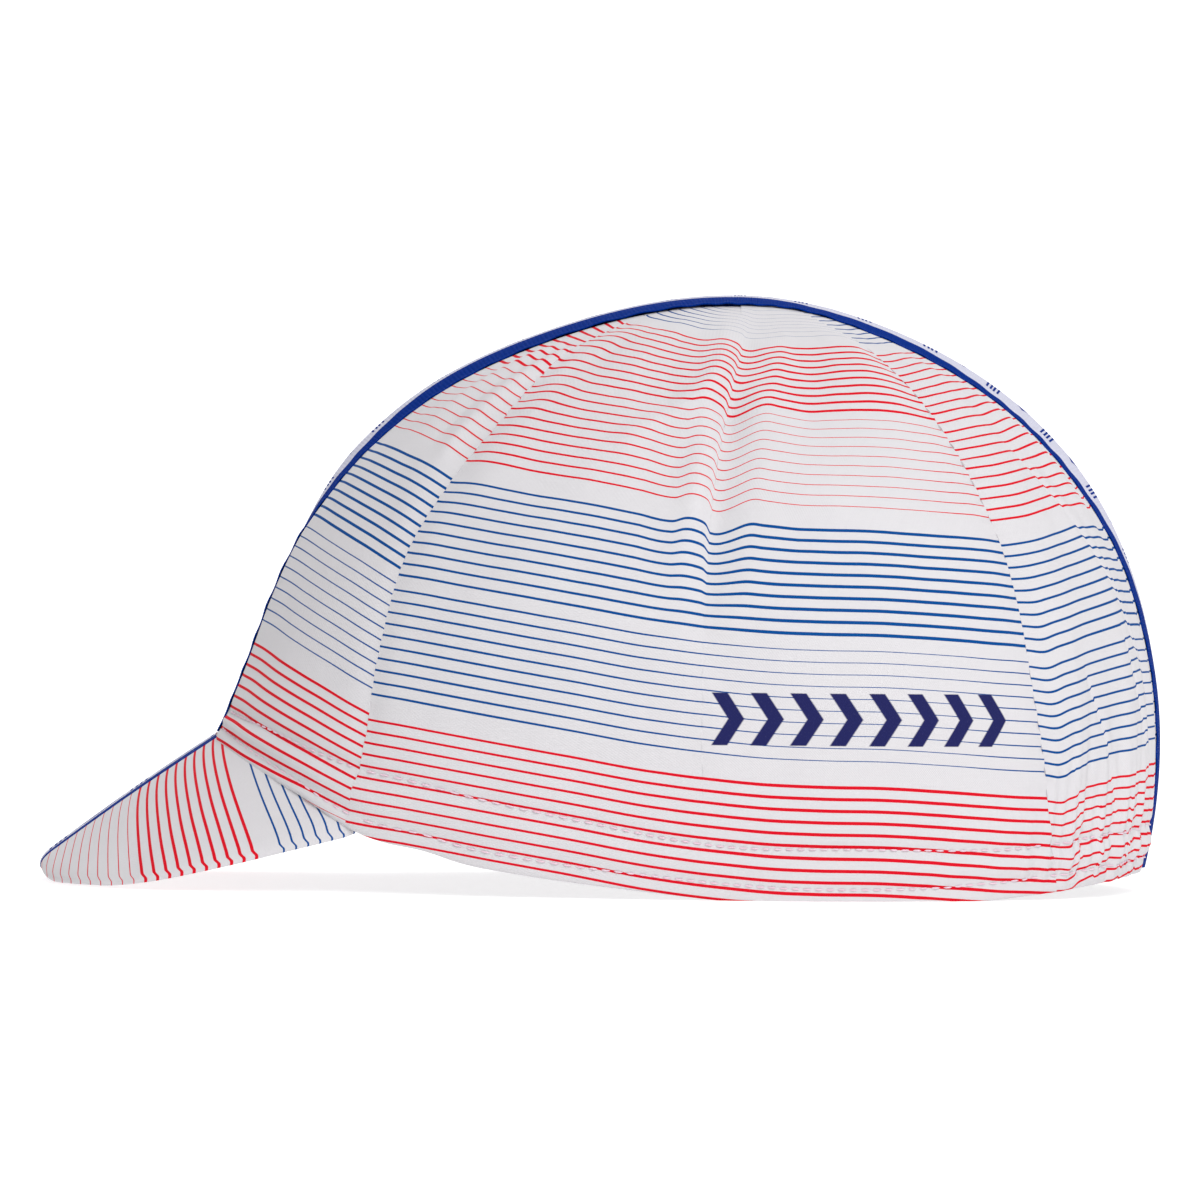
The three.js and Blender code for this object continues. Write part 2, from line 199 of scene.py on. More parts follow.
def foldLift(turn, lean, table, depth, reach):
    total = 0
    for fold in table:
        length = fold["toLean"] - fold["fromLean"]
        share = (lean - fold["fromLean"]) / length
        held = np.clip(share, 0, 1)
        beyond = (share - held) * length * crown["meridian"]
        away = apart(turn, mix(fold["fromTurn"], fold["toTurn"], held), lean)
        total = total + fold["depth"] * np.exp(-(away ** 2 + beyond ** 2 / 4) / (fold["reach"] * reach) ** 2)
    return total * depth


def gatherLift(turn, lean):
    along = np.maximum((turn - crown["rearStart"]) / (180 - crown["rearStart"]), 0)
    wave = np.cos(2 * np.pi * crown["gathersPerSide"] * along)
    return crown["gatherDepth"] * wave * smooth(0, 0.15, along) * smooth(0.62, 0.95, lean)


# The sewn details that only this script has: depths and reaches in millimetres, and shares
sewing = {
    "rowTrough": 0.45, "rowReach": 1.2, "frontRowTrough": 0.35,  # along the upper row of stitches
    "lowerRow": 3.0, "lowerTrough": 0.22, "lowerReach": 0.7,
    "hemRoll": 0.6, "frontRoll": 0.4, "frontLip": 0.7,
    "frontSwell": 0.35, "swellAbove": 4, "swellReach": 3.5,
    "tieDepth": 0.06, "tieReach": 1.6, "tiePitch": 2.7, "perTurn": 1.9,  # each stitch pulls the cloth in
    "puckerDepth": 0.17, "puckerReach": 4.0, "puckerLength": 5.2,
    "frontPucker": 1.4, "backPucker": 1.6, "dartPucker": 0.8,  # how strong each line's puckers are
    "seamPinch": 0.06, "seamPinchReach": 0.6,
    "tuckDent": 0.3, "tuckReach": 0.8, "tuckLip": 0.7, "tuckLipReach": 1.3,
    "tuckFall": 0.12,  # right of the long tuck, the print falls this much for each millimetre
    "ribbonSink": 0.9,  # the panels run on under the ribbon
    "puffFrom": 17, "puffReach": 7,  # beside the ribbon at the front
    "fineGather": 0.32, "fineGatherLength": 3.4, "smallTuck": 0.4, "smallTuckLength": 7.5,
    "sewnEdge": 5, "sewnShare": 0.85, "gatherShare": 0.8,  # the sewn edge loses these shares of both gathers
    "softDepth": 0.3,  # slow unevenness of the cloth
    "dartRidge": 1.4, "ridgeAhead": 2.8, "ridgeReach": 3.6,
}
# How far the cloth puffs up beside the ribbon at the front, by lean
puffs = rows("lean height",
    (0.45, 0), (0.52, 0.3), (0.6, 1.1), (0.68, 1.2), (0.75, 0.7), (0.8, 0.7), (0.87, 0.8), (1, 0.8))
# How far the cloth beside the ribbon lies lower, by lean from the front (negative) to the back
gutter = rows("lean depth",
    (-0.6, 0), (-0.5, 0.6), (-0.3, 0.9), (-0.14, 0.5), (0, 0.1), (0.1, 0.1), (0.2, 0.9), (0.35, 1.4), (0.5, 1.0),
    (0.6, 0.1), (0.68, 0), (1, 0))
# Smaller folds of the cloth: depths and reaches in millimetres
creases = rows("fromTurn fromLean toTurn toLean depth reach",
    (84, 0.346, 68, 0.449, 0.75, 4.2), (86, 0.4, 77, 0.5, -0.5, 4.0), (91.5, 0.38, 92.5, 0.43, 0.5, 4.0),
    (104, 0.354, 110, 0.3, -0.6, 6.0), (127, 0.26, 124, 0.34, 0.5, 5.0), (36.2, 0.29, 34.6, 0.47, 0.7, 2.3),
    (32.3, 0.28, 30.3, 0.44, -0.6, 2.2), (27.5, 0.3, 25.5, 0.42, 0.45, 2.3), (48, 0.3, 44, 0.36, -0.4, 4.5),
    (154, 0.5, 166, 0.76, -0.7, 2.6), (139.5, 0.78, 141.5, 0.96, 0.35, 2.2), (133, 0.9, 132, 0.98, 0.5, 2.2),
    (129, 0.91, 128, 0.98, -0.4, 2.0))
# Small tucks of the rear panel, the long one first: right of each, the print stands higher by a shift in millimetres
tucks = rows("fromTurn fromLean toTurn toLean shift reach",
    (150, 0.5, 163, 0.76, -0.85, 7.0), (157.5, 0.73, 163, 0.9, 0.6, 5.0), (146.5, 0.77, 153, 0.9, 0.6, 5.0),
    (142.6, 0.87, 146, 0.95, 0.6, 4.0), (169, 0.55, 171, 0.9, 0.5, 5.0), (149, 0.91, 149.5, 0.98, -0.5, 2.2),
    (152.5, 0.9, 153.3, 0.98, 0.5, 2.2), (156, 0.9, 157, 0.98, -0.5, 2.2), (159.5, 0.89, 160.5, 0.97, 0.5, 2.2),
    (164, 0.88, 165, 0.97, -0.5, 2.2), (168, 0.87, 168.5, 0.97, 0.5, 2.2), (173, 0.86, 173, 0.97, -0.5, 2.2),
    (177, 0.85, 177, 0.96, 0.5, 2.2))
# The upper row of hem stitches, by turn: its share of the crown's height
stitchLine = rows("turn rise",
    (0, 0.3), (20, 0.27), (37, 0.204), (43, 0.188), (52, 0.16), (60, 0.14), (68, 0.122), (78, 0.101),
    (90, 0.086), (108, 0.085), (122, 0.083), (130, 0.084), (139, 0.091), (155, 0.108), (180, 0.124))


def hemRelief(turn, lean):
    rise = np.cos(lean * np.pi / 2)
    above = (rise - hemRise(turn)) * crown["height"]  # millimetres over the hem's edge
    upper = (follow(stitchLine, "turn", turn, "rise") - hemRise(turn)) * crown["height"]
    front = 1 - smooth(30, 44, turn)
    trough = (sewing["rowTrough"] + sewing["frontRowTrough"] * front) * bell(above - upper, sewing["rowReach"])
    low = sewing["lowerTrough"] * bell(above - sewing["lowerRow"], sewing["lowerReach"])
    share = np.clip((above - sewing["lowerRow"]) / (upper - sewing["lowerRow"]), 0, 1)
    roll = (sewing["hemRoll"] + sewing["frontRoll"] * front) * np.sin(np.pi * share) ** 2
    roll = roll + sewing["frontLip"] * front * np.sin(np.pi * np.clip(above / sewing["lowerRow"], 0, 1))
    swell = sewing["frontSwell"] * front * bell(above - upper - sewing["swellAbove"], sewing["swellReach"])
    tie = np.cos(2 * np.pi * turn * sewing["perTurn"] / sewing["tiePitch"])
    tie = tie * sewing["tieDepth"] * bell(above - upper, sewing["tieReach"])
    return roll + swell + tie - trough - low


def puckerLift(turn, lean):
    total = 0
    down = lean * crown["meridian"] * crown["slack"]
    frontSide = 1 + sewing["frontPucker"] * (1 - smooth(0.3, 0.5, lean))
    for line, side in ((frontSeam, frontSide), (backSeam, sewing["backPucker"]), (dartLine, sewing["dartPucker"])):
        away = aheadOf(turn, line, lean)
        wave = np.sin(2 * np.pi * down / sewing["puckerLength"] + np.sign(away) * 1.2 + 1.4 * np.sin(down / 9.0))
        wave = wave * (0.6 + 0.4 * np.sin(down / 13.0 + 1))
        total = total + side * wave * np.exp(-np.abs(away) / sewing["puckerReach"])
    return sewing["puckerDepth"] * total * smooth(0.18, 0.3, lean) * (1 - smooth(0.86, 0.93, lean))


def pinchLift(turn, lean):
    seams = (np.abs(aheadOf(turn, line, lean)) for line in (frontSeam, backSeam))
    return -sewing["seamPinch"] * sum(np.exp(-away / sewing["seamPinchReach"]) for away in seams)


def softLift(turn, lean):
    # slow bumps of cloth that stands by its own stiffness
    a = np.sin(turn * 0.21 + 3 * lean) * np.sin(lean * 17 + turn * 0.06)
    b = np.sin(turn * 0.43 - 7 * lean + 1) * np.sin(lean * 29 + 2)
    c = np.sin(turn * 0.9 + 11 * lean) * np.sin(lean * 47 - turn * 0.11)
    return sewing["softDepth"] * (0.55 * a + 0.3 * b + 0.15 * c) * smooth(0.1, 0.3, lean)


def rearLift(turn, lean):
    # fine gathers over the elastic, and the small tucks that run into it from the side panel
    place = apart(turn, crown["rearStart"], lean)
    low = smooth(0.78, 0.98, lean) + 0.1 * smooth(0.45, 0.75, lean)
    wave = np.sin(2 * np.pi * place / sewing["fineGatherLength"] + 2.2 * np.sin(place / 7.0) + 9 * lean)
    fine = sewing["fineGather"] * wave * low * smooth(132, 143, turn)
    tuck = np.sin(2 * np.pi * place / sewing["smallTuckLength"] + 12 * lean + 1.3 * np.sin(place / 5))
    tuck = tuck * sewing["smallTuck"]
    tuck = tuck * smooth(112, 128, turn) * (1 - smooth(136, 146, turn)) * smooth(0.86, 0.97, lean)
    above = (np.cos(lean * np.pi / 2) - hemRise(turn)) * crown["height"]
    sewn = 1 - smooth(0, sewing["sewnEdge"], above)  # the sewn edge stays straighter
    return (fine + tuck) * (1 - sewing["sewnShare"] * sewn) - gatherLift(turn, lean) * sewing["gatherShare"] * sewn


def tuckOf(turn, lean):
    # how far the print is shifted by the tucks, and how deep they dent the cloth, in millimetres
    shift, dent = 0, 0
    for tuck in tucks:
        length = tuck["toLean"] - tuck["fromLean"]
        share = (lean - tuck["fromLean"]) / length
        away = apart(turn, mix(tuck["fromTurn"], tuck["toTurn"], share), lean)
        here = smooth(-0.25, 0.05, share) * (1 - smooth(0.95, 1.25, share))
        shift = shift + tuck["shift"] / 2 * np.sign(away) * np.exp(-np.abs(away) / tuck["reach"]) * here
        if tuck is tucks[0]:
            shift = shift - sewing["tuckFall"] * np.maximum(away, 0) * here
        lip = sewing["tuckLip"] * bell(away - 1.4, sewing["tuckLipReach"])
        dent = dent + np.exp(-np.abs(away + 0.3) / sewing["tuckReach"]) * here - lip * here
    return shift, dent


def ridgeLift(turn, lean):
    # the cloth stands up ahead of the dart
    away = aheadOf(turn, dartLine, lean) + sewing["ridgeAhead"]
    return sewing["dartRidge"] * bell(away, sewing["ridgeReach"]) * follow(dartPull, "lean", lean, "share")


def puffLift(lean, offMiddle):
    return follow(puffs, "lean", lean, "height") * bell(offMiddle - sewing["puffFrom"], sewing["puffReach"])


def crownPoint(turn, lean, lift):
    # a point of the cloth with its folds, lifted off it by a distance
    aside = fromFront(turn)
    plain = crownSurface(turn, lean)
    clear = smooth(11, 18, np.abs(plain[..., 1]))  # the folds end at the ribbon
    relief = dartLift(aside, lean) + seamLift(aside, lean) + gatherLift(aside, lean)
    relief = relief + foldLift(aside, lean, folds, crown["foldDepth"], crown["foldReach"])
    return plain + crownNormal(turn, lean) * (relief * clear + lift)[..., None]


def clothPoint(turn, lean, lift):
    # the same with the sewn details
    aside = fromFront(turn)
    offMiddle = np.abs(crownSurface(turn, lean)[..., 1])
    clear = smooth(13, 18, offMiddle)
    detail = (hemRelief(aside, lean) * smooth(0.7, 0.78, lean) + puckerLift(aside, lean) + pinchLift(aside, lean)
              + softLift(aside, lean) + rearLift(aside, lean) + foldLift(aside, lean, creases, 1, 1)
              + ridgeLift(aside, lean) - sewing["tuckDent"] * tuckOf(aside, lean)[1])
    puff = puffLift(lean, offMiddle) * (1 - smooth(50, 70, aside))
    puff = puff - follow(gutter, "lean", lean * np.where(aside < 90, -1, 1), "depth") * (1 - smooth(17, 30, offMiddle))
    sink = sewing["ribbonSink"] * (1 - smooth(10.5, 13.5, offMiddle)) * (1 - smooth(0.7, 0.76, lean))
    return crownPoint(turn, lean, lift + detail * clear + puff - sink)


# The frame's origin is under the middle of the cap: the peak's tip says how far the crown's axis lies from it
frontHem = crownSurface(np.array(0.0), hemLean(np.array(0.0)))
shift = np.array([cadBox[0].x / mm - (frontHem[0] - peak["reach"]), 0, 0])
floorGap = 0.05


def meshOf(name, points, faceGroups, attributes=None, material=None):
    # faceGroups: (vertex numbers, UVs) pairs, each face of a group with as many corners
    mesh = bpy.data.meshes.new(name)
    mesh.vertices.add(len(points))
    placed = points + shift
    placed[:, 2] = np.maximum(placed[:, 2], floorGap)  # cloth that would sink lies flat
    mesh.vertices.foreach_set("co", (placed * mm).astype(np.float32).ravel())
    corners = np.concatenate([f.ravel() for f, _ in faceGroups])
    sizes = np.concatenate([np.full(len(f), f.shape[1]) for f, _ in faceGroups])
    mesh.loops.add(len(corners))
    mesh.loops.foreach_set("vertex_index", corners.astype(np.int32))
    mesh.polygons.add(len(sizes))
    mesh.polygons.foreach_set("loop_start", (np.cumsum(sizes) - sizes).astype(np.int32))
    mesh.update(calc_edges=True)
    uv = mesh.uv_layers.new(name="OFBake")
    uv.data.foreach_set("uv", np.concatenate([u.reshape(-1) for _, u in faceGroups]).astype(np.float32))
    for key, value in (attributes or {}).items():
        mesh.attributes.new(key, "FLOAT", "POINT").data.foreach_set("value", np.asarray(value, np.float32).ravel())
    mesh.shade_smooth()
    mesh.set_sharp_from_angle(angle=math.radians(60))  # the rims keep the outside's shading clean
    piece = bpy.data.objects.new(name, mesh)
    bpy.context.scene.collection.objects.link(piece)
    if material:
        mesh.materials.append(material)
    return piece


def wallPiece(name, columns, ranks, corner, stride=2, curl=3, mirrored=False, attributes=None, material=None):
    # a closed wall over a grid: corner(u, v, depth) gives its points, depth 0 outside and 1 inside.
    # The inside has one vertex for stride of the outside's, and the lower edge is rounded by curl strips.
    def grid(nu, nv):
        u, v = np.meshgrid(np.linspace(0, 1, nu + 1), np.linspace(0, 1, nv + 1))
        return u.ravel(), v.ravel()

    outU, outV = grid(columns, ranks)
    inU, inV = grid(columns // stride, ranks // stride)
    lipU = np.tile(np.linspace(0, 1, columns + 1), curl)
    lipDepth = np.repeat(np.arange(1, curl + 1) / (curl + 1), columns + 1)
    lipV = 1 + np.sin(np.pi * lipDepth) * 0.0034
    u, v = np.concatenate([outU, lipU, inU]), np.concatenate([outV, lipV, inV])
    depth = np.concatenate([outU * 0, (1 - np.cos(np.pi * lipDepth)) / 2, inU * 0 + 1])
    points = corner(u, v, depth)
    values = attributes(u, v, depth) if attributes else {}

    wide, wideIn = columns + 1, columns // stride + 1
    firstLip = wide * (ranks + 1)
    firstIn = firstLip + wide * curl

    def quads(first, width, across, down):
        i, j = np.meshgrid(np.arange(across), np.arange(down))
        a = first + (j * width + i).ravel()
        return np.stack([a, a + width, a + width + 1, a + 1], -1)

    def patch(faces, low, high, flip=False):
        corners = np.stack([u[faces], mix(low, high, v[faces])], -1)
        return (faces[:, ::-1], corners[:, ::-1]) if flip else (faces, corners)

    # the UV map, from its top: the outside, the inside, the rounded edge, and a thin strip for each rim
    groups = [patch(quads(0, wide, columns, ranks), 0.18, 0.995),
              patch(quads(firstIn, wideIn, columns // stride, ranks // stride), 0.03, 0.165, True)]
    lip = np.arange(firstLip - wide, firstIn).reshape(-1, wide)
    for k in range(curl):
        faces = np.stack([lip[k, :-1], lip[k + 1, :-1], lip[k + 1, 1:], lip[k, 1:]], -1)
        level = np.array([k, k + 1, k + 1, k]) / (curl + 1)
        groups.append((faces, np.stack([u[faces], 0.018 + 0.006 * np.broadcast_to(level, faces.shape)], -1)))

    def rim(outer, inner, base, flip):
        # polygons between the outside's edge and the coarser inside's
        n = len(inner) - 1
        k = np.arange(n)
        faces = [outer[k * stride + s] for s in range(stride + 1)] + [inner[k + 1], inner[k]]
        faces = np.stack(faces, -1)
        along = np.stack([(k * stride + s) / (n * stride) for s in range(stride + 1)] + [(k + 1) / n, k / n], -1)
        out = np.broadcast_to(np.array([1] * (stride + 1) + [0, 0]), faces.shape)
        corners = np.stack([along, base + 0.002 * out], -1)
        groups.append((faces[:, ::-1], corners[:, ::-1]) if flip else (faces, corners))

    last = ranks // stride
    rim(np.arange(wide), firstIn + np.arange(wideIn), 0.002, False)
    rim(lip[curl], firstIn + last * wideIn + np.arange(wideIn), 0.006, True)
    outer, inner = np.arange(ranks + 1) * wide, firstIn + np.arange(last + 1) * wideIn
    rim(outer, inner, 0.010, True)
    rim(outer + columns, inner + columns // stride, 0.014, False)
    for side, flip in ((0, True), (columns, False)):
        face = np.array([list(lip[:, side]) + [firstIn + last * wideIn + side // stride]])
        along = np.linspace(0, 0.01, face.shape[1]) + side / columns * 0.9
        corners = np.stack([along, 0.026 + 0.001 * (np.arange(face.shape[1]) % 2)], -1)[None]
        groups.append((face[:, ::-1], corners[:, ::-1]) if flip else (face, corners))
    if mirrored:
        points = points * [1, -1, 1]
        groups = [(f[:, ::-1], c[:, ::-1]) for f, c in groups]
    return meshOf(name, points, groups, values, material)


def settle(piece, slot, *nodes):
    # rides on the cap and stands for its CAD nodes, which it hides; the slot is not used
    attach(piece, "root")
    if nodes:
        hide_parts(*nodes)
    return piece


# Materials
class Wire:
    # a socket that maths can be written with
    def __init__(self, shader, socket):
        self.shader, self.socket = shader, socket

    def _do(self, operation, *values, clamp=False):
        return self.shader.add("ShaderNodeMath", {"operation": operation, "use_clamp": clamp}, values)

    def __add__(self, other): return self._do("ADD", self, other)
    def __radd__(self, other): return self._do("ADD", other, self)
    def __sub__(self, other): return self._do("SUBTRACT", self, other)
    def __rsub__(self, other): return self._do("SUBTRACT", other, self)
    def __mul__(self, other): return self._do("MULTIPLY", self, other)
    def __rmul__(self, other): return self._do("MULTIPLY", other, self)
    def __truediv__(self, other): return self._do("DIVIDE", self, other)
    def __rtruediv__(self, other): return self._do("DIVIDE", other, self)
    def abs(self): return self._do("ABSOLUTE", self)
    def fract(self): return self._do("FRACT", self)
    def sin(self): return self._do("SINE", self)
    def clamp(self): return self._do("ADD", self, 0, clamp=True)
    def over(self, limit): return self._do("GREATER_THAN", self, limit)


class NodeTree:
    # adds nodes, their settings first and then the values or links of their sockets
    def __init__(self, tree):
        self.tree = tree

    def add(self, kind, settings=None, values=(), output=0):
        node = self.tree.nodes.new(kind)
        for key, value in (settings or {}).items():
            setattr(node, key, value)
        pairs = values.items() if isinstance(values, dict) else enumerate(values)
        for key, value in pairs:
            if isinstance(value, Wire):
                self.tree.links.new(value.socket, node.inputs[key])
            elif value is not None:
                node.inputs[key].default_value = value
        return Wire(self, node.outputs[output])


class Shader(NodeTree):
    # one material and the nodes that feed it
    def __init__(self, name, **constants):
        self.material = bpy.data.materials.new(name)
        self.material.use_nodes = True
        super().__init__(self.material.node_tree)
        self.surface = next(n for n in self.tree.nodes if n.type == "BSDF_PRINCIPLED")
        for key, value in constants.items():
            self.surface.inputs[key.replace("_", " ")].default_value = value

    def attribute(self, name):
        return self.add("ShaderNodeAttribute", {"attribute_name": name}, output="Fac")

    def noise(self, vector, scale, detail=2.0, rough=0.5):
        values = {"Vector": vector, "Scale": scale, "Detail": detail, "Roughness": rough}
        return self.add("ShaderNodeTexNoise", {}, values, "Fac")

    def place(self):
        return self.add("ShaderNodeTexCoord", output="Object")

    def stretch(self, vector, x, y, z):
        return self.add("ShaderNodeVectorMath", {"operation": "MULTIPLY"}, (vector, (x, y, z)))

    def combine(self, x, y, z=0.0):
        return self.add("ShaderNodeCombineXYZ", {}, (x, y, z))

    def tint(self, share, a, b):
        # colour a where the share is 0, b where it is 1
        return self.add("ShaderNodeMix", {"data_type": "RGBA"}, {0: share, 6: a, 7: b}, 2)

    def bump(self, height, distance, strength=1.0, normal=None):
        values = {"Height": height, "Distance": distance, "Strength": strength, "Normal": normal}
        return self.add("ShaderNodeBump", {}, values)

    def finish(self, **wires):
        for key, value in wires.items():
            self.tree.links.new(value.socket, self.surface.inputs[key.replace("_", " ")])
        return self.material


inks = {
    "cloth": (0.68, 0.668, 0.684, 1), "clothShade": (0.62, 0.603, 0.628, 1),
    "red": (0.65, 0.003, 0.016, 1), "blue": (0.0, 0.062, 0.255, 1),
    "navy": (0.014, 0.016, 0.095, 1), "ribbonBlue": (0.0, 0.018, 0.19, 1), "ribbonWhite": (0.62, 0.62, 0.72, 1),
    "ribbonShade": (0.56, 0.56, 0.68, 1), "ribbonLight": (0.0, 0.03, 0.24, 1),
    "thread": (0.82, 0.68, 0.76, 1), "threadShade": (0.74, 0.50, 0.60, 1), "band": (0.66, 0.64, 0.69, 1),
}


def stripedCloth():
    s = Shader("striped_cloth", Roughness=0.9, Specular_IOR_Level=0.12)
    place = s.place()
    inside = s.attribute("inside")
    threads = s.combine(s.attribute("clothX"), s.attribute("clothY"))
    grain = s.noise(threads, 2.4, 2)
    lines = s.attribute("lineRow")
    away = ((lines + 0.5).fract() - 0.5).abs()
    edge = s.attribute("lineWidth") * 0.5 + (grain - 0.5) * 0.016
    line = ((edge - away) / 0.035 + 0.5).clamp()
    soft = s.noise(place, 55.0, 3)
    warpStreak = s.noise(s.stretch(threads, 2.2, 0.09, 1), 1.0, 3, 0.6)
    weftStreak = s.noise(s.stretch(threads, 0.09, 2.4, 1), 1.0, 3, 0.6)
    streak = (warpStreak + weftStreak) * 0.5
    cloth = s.tint((streak * 0.9 + soft * 0.5 - 0.25).clamp(), inks["clothShade"], inks["cloth"])
    ink = s.tint(s.attribute("lineHue"), inks["red"], inks["blue"])
    worn = ((1.0 - inside * 0.72) * (0.95 + grain * 0.12)).clamp()  # little of the ink comes through to the inside
    printed = s.tint(line * worn, cloth, ink)
    # the printed chevrons at the side
    markX, markY = s.attribute("markX"), s.attribute("markY")
    run = markX + markY.abs() * 0.62
    mark = ((run / motif["pitch"]).fract() - 0.5).abs()
    strokes = ((motif["stroke"] / motif["pitch"] / 2 - mark) * 24 + 0.5).clamp()
    inRun = (motif["pitch"] * motif["strokes"] / 2 - run.abs()).over(0)
    inHeight = ((motif["height"] / 2 - markY.abs()) * 5 + 0.5).clamp()
    printed = s.tint(strokes * inRun * inHeight * worn, printed, inks["navy"])
    # plain weave, with threads that vary in thickness
    cell = 2 * math.pi / weave["pitch"]
    wave = (s.attribute("clothX") * cell).sin() * (s.attribute("clothY") * cell).sin()
    relief = s.bump(wave * 0.5 + streak * 1.6, weave["depth"] * mm, 0.9)
    crease = s.noise(s.stretch(place, 1.0, 1.0, 0.55), 160.0, 3, 0.6)
    relief = s.bump(crease, 0.25 * mm, 0.35, relief)
    rough = 0.78 + streak * 0.12
    return s.finish(Base_Color=printed, Normal=relief, Roughness=rough)


def plainCloth(name, pitch, depth):
    s = Shader(name, Roughness=0.85, Specular_IOR_Level=0.15)
    place = s.place()
    streak = s.noise(s.stretch(place, 1, 1, 0.25), 900.0, 3)
    slow = s.noise(place, 60.0, 3)
    cell = 2 * math.pi / pitch
    x, y = s.attribute("clothX"), s.attribute("clothY")
    wave = (x * cell).sin() * (y * cell).sin()
    tone = s.tint((streak * 0.6 + slow * 0.6 - 0.1).clamp(), inks["clothShade"], inks["band"])
    return s.finish(Base_Color=tone, Normal=s.bump(wave + streak, depth * mm, 0.8))


def ribbonCloth():
    s = Shader("ribbon_cloth", Roughness=0.75, Specular_IOR_Level=0.03)
    across, along = s.attribute("clothX"), s.attribute("clothY")
    edge = ((across.abs() - ribbon["border"]) * 6 + 0.5).clamp()
    # lozenges along the middle
    cell = ((along / ribbon["repeat"]).fract() - 0.5).abs() * ribbon["repeat"]
    lozenge = ((ribbon["lozenge"] - cell * 0.8 - across.abs()) * 5 + 0.5).clamp()
    hollow = ((ribbon["lozenge"] - ribbon["stroke"] - cell * 0.8 - across.abs()) * 5 + 0.5).clamp()
    bars = ((cell - ribbon["barsFrom"]) / ribbon["barPitch"]).fract()
    bars = ((0.25 - (bars - 0.5).abs()) * 8 + 0.5).clamp() * (cell - ribbon["barsFrom"]).over(0)
    bars = bars * ((ribbon["barLength"] - across.abs()) * 5 + 0.5).clamp()
    printed = (edge + lozenge - hollow + bars).clamp()
    ribs = (along * (2 * math.pi / ribbon["ribPitch"])).sin()
    grain = s.noise(s.combine(across * 5, along * 1.2), 1.0, 3)
    light = s.tint(grain, inks["ribbonShade"], inks["ribbonWhite"])
    dark = s.tint(grain, inks["ribbonBlue"], inks["ribbonLight"])
    return s.finish(Base_Color=s.tint(printed, light, dark), Roughness=0.65 + grain * 0.2,
                    Normal=s.bump(ribs * 0.6 + grain, 0.12 * mm, 0.7))


def threadMaterial():
    s = Shader("sewing_thread", Roughness=0.7, Specular_IOR_Level=0.3)
    fuzz = s.noise(s.place(), 4000.0, 2)
    return s.finish(Base_Color=s.tint(fuzz, inks["threadShade"], inks["thread"]), Normal=s.bump(fuzz, 0.05 * mm, 0.6))


# The print
stripes = {
    "thin": 0.068, "thick": 0.285, "even": 0.198,  # widths, as shares of the pitch
    "frontPitch": 0.965,  # the front panel's hem group stands a little closer
    "frontPale": 3.5,  # its lines below this one lie on the lip and have worn thin
}
# The line groups from the hem to the top: how far their lowest line lies over the first group's highest,
# their pitch, both as lean, and how many lines they have
lineGroups = rows("start pitch lines hue bold",
    (-0.1612, 0.0124, 14, 0, 1), (0.028, 0.01335, 10, 1, -1), (0.1665, 0.01405, 10, 1, 1),
    (0.3255, 0.0147, 10, 0, -1), (0.475, 0.0152, 10, 0, 1), (0.645, 0.016, 9, 1, -2))
printScale = crown["height"] * math.pi / 2  # millimetres of cloth to a unit of lean
# Lean of the hem group's highest line, by turn, and how far thick and thin groups differ
printLevels = {
    "front": rows("turn lean contrast",
        (0, 0.733, 0.6), (12, 0.740, 0.6), (20, 0.755, 0.75), (28, 0.777, 0.7), (34, 0.798, 0.55), (40, 0.821, 0.5)),
    "side": rows("turn lean contrast",
        (34, 0.8105, 0.1), (38, 0.8165, 0.11), (42, 0.8215, 0.06), (46, 0.827, 0.0), (54, 0.838, 0.05),
        (64, 0.851, 0.2), (76, 0.866, 0.4), (92, 0.878, 0.85), (102, 0.881, 1), (112, 0.882, 1), (122, 0.886, 1),
        (130, 0.89, 0.75), (142, 0.894, 0.6)),
    "rear": rows("turn lean contrast",
        (132, 0.897, 0.1), (140, 0.893, 0), (148, 0.879, 0.05), (157, 0.868, 0.1), (166, 0.86, 0.25),
        (180, 0.852, 0.3)),
}
motif = {"turn": 110, "lean": 0.809, "strokes": 8, "height": 11.5, "pitch": 8.2, "stroke": 3.4}
weave = {"pitch": 0.62, "depth": 0.03}
farAway = 500.0  # where a piece has no chevrons

# Near the top, these panels' lines run straighter: about which lean, and how much of their curve is left
straighter = {
    "front": (0.8, rows("lean share", (0, 0.5), (0.2, 0.5), (0.32, 0.52), (0.46, 0.78), (0.6, 1), (1, 1))),
    "rear": (0.895, rows("lean share", (0, 0.15), (0.16, 0.3), (0.3, 0.85), (0.45, 1), (1, 1))),
}
# How strongly the dart pulls the print
dartPull = rows("lean share",
    (0, 0), (0.14, 0.2), (0.3, 0.8), (0.5, 1), (0.58, 0.85), (0.63, 0.45), (0.68, 0.1), (0.71, 0), (1, 0))
# How far the print sags at a place ahead of the dart (negative) or behind it, in millimetres
dartSag = rows("away sag",
    (-15, 0), (-8, 0.75), (-5.2, -0.45), (-2.4, -0.6), (-0.9, -0.1), (-0.15, 1.5), (0.15, 2.2), (2, 2.35),
    (4.2, 1.5), (8.4, -0.7), (11.5, -0.5), (19, 0))
# The same beside the seams: by how much, how far from the seam, and how far it reaches
seamSag = {"top": 3.0, "topReach": 8.5, "shoulder": 1.6, "shoulderAt": 7, "shoulderReach": 5,
           "back": 0.9, "backAt": 4, "backReach": 3}


